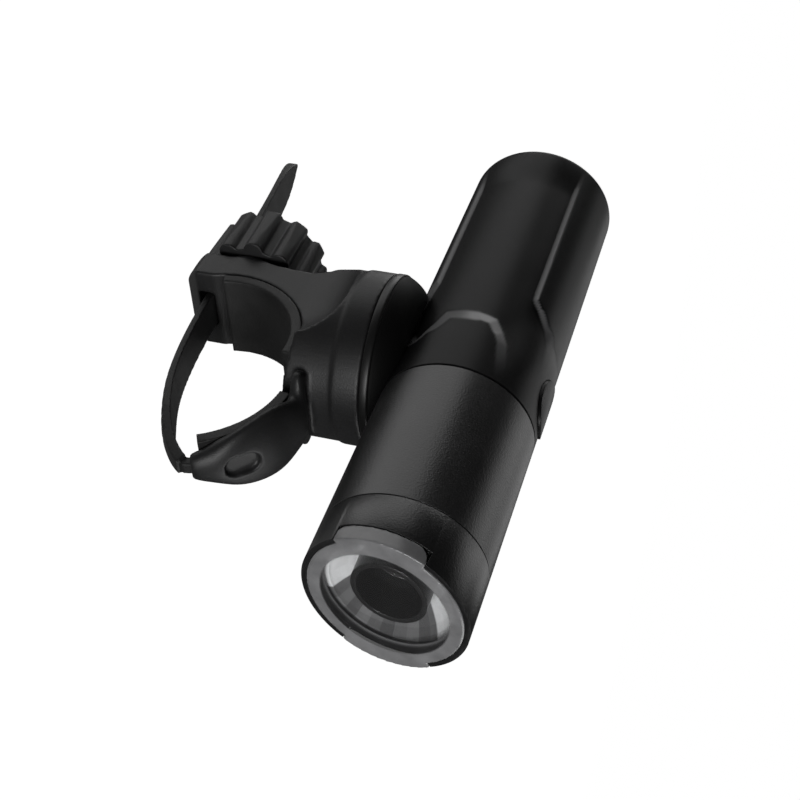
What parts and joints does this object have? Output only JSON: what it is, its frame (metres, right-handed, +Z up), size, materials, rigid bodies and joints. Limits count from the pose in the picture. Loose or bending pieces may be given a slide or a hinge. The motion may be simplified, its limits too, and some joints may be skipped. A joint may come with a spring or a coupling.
{
  "type": "bicycle headlight",
  "caption": "Slim round handlebar headlight with a raked clear window, top button and swivel foot on a saddle clamp with a hook arm, toothed strap and thumb nut.",
  "frame": {"origin": "centre of the clamp's round saddle, on the handlebar's axis", "axes": "+X along the handlebar, +Y to the rear of the light, +Z up; the light shines towards -Y"},
  "size_m": [0.0356, 0.1243, 0.081],
  "materials": {
    "anodised_black": "bead-blasted black anodised",
    "smooth_black": "smooth black anodised",
    "clear_window": "clear moulded window",
    "black_rubber": "soft black rubber",
    "bright_reflector": "bright coated reflector",
    "dark_barrel": "matt black",
    "optic_glass": "clear optic",
    "emitter_yellow": "phosphor",
    "board_white": "white solder mask",
    "board_green": "green solder mask",
    "button_black": "satin black",
    "switch_metal": "plated steel",
    "holder_plastic": "moulded",
    "cell_wrap": "shrink wrap",
    "contact_metal": "nickel plated",
    "bracket_plastic": "fine moulded texture",
    "plate_gloss": "gloss black",
    "screw_steel": "stainless",
    "ring_plastic": "slippery white",
    "strap_rubber": "moulded flexible strap"
  },
  "bodies": {
    "clamp": {"clamp_base": "bracket_plastic", "saddle_pad": "black_rubber", "arm_pad": "black_rubber", "strap": "strap_rubber", "strap_pin": "screw_steel", "nut_clip": "bracket_plastic", "clip_screw": "screw_steel", "friction_ring": "ring_plastic"},
    "light": {"front_bezel": "anodised_black", "lens_window": "clear_window", "window_seal": "black_rubber", "reflector": "bright_reflector", "optic_barrel": "dark_barrel", "optic_lens": "optic_glass", "led_emitter": "emitter_yellow", "led_board": "board_white", "front_housing": "anodised_black", "driver_board": "board_green", "housing_seal": "black_rubber", "rear_housing": "smooth_black", "button_board": "board_green", "button_switch": "switch_metal", "cell_holder": "holder_plastic", "battery_cell": "cell_wrap", "front_contact": "contact_metal", "rear_contact": "contact_metal", "charge_board": "board_green", "charge_socket": "switch_metal", "end_cap": "bracket_plastic", "mount_foot": "bracket_plastic", "swivel_plate": "plate_gloss", "foot_screws": "screw_steel", "pivot_screw": "screw_steel"},
    "button": {"power_button": "button_black"},
    "socket_cover": {"socket_cover": "black_rubber"},
    "dial": {"dial_nut": "bracket_plastic"}
  },
  "joints": [
    {"name": "light_swivel", "type": "hinge", "parent": "clamp", "child": "light", "pos_m": [0, 0.0102, 0.0335], "axis": [0, 0, 1], "range_deg": [-20, 20]},
    {"name": "power_button_press", "type": "slide", "parent": "light", "child": "button", "axis": [0, 0, 1], "range_m": [-0.0005, 0], "stiffness_N_per_m": 1500, "springref_m": 0.0003},
    {"name": "socket_cover_hinge", "type": "hinge", "parent": "light", "child": "socket_cover", "pos_m": [0, 0.06855, 0.04755], "axis": [-1, 0, 0], "range_deg": [0, 90], "stiffness_Nm_per_rad": 0.003, "springref_deg": -20.05},
    {"name": "dial_turn", "type": "hinge", "parent": "clamp", "child": "dial", "pos_m": [0, 0.0316, -0.0014], "axis": [0, 1, 0], "continuous": true}
  ]
}
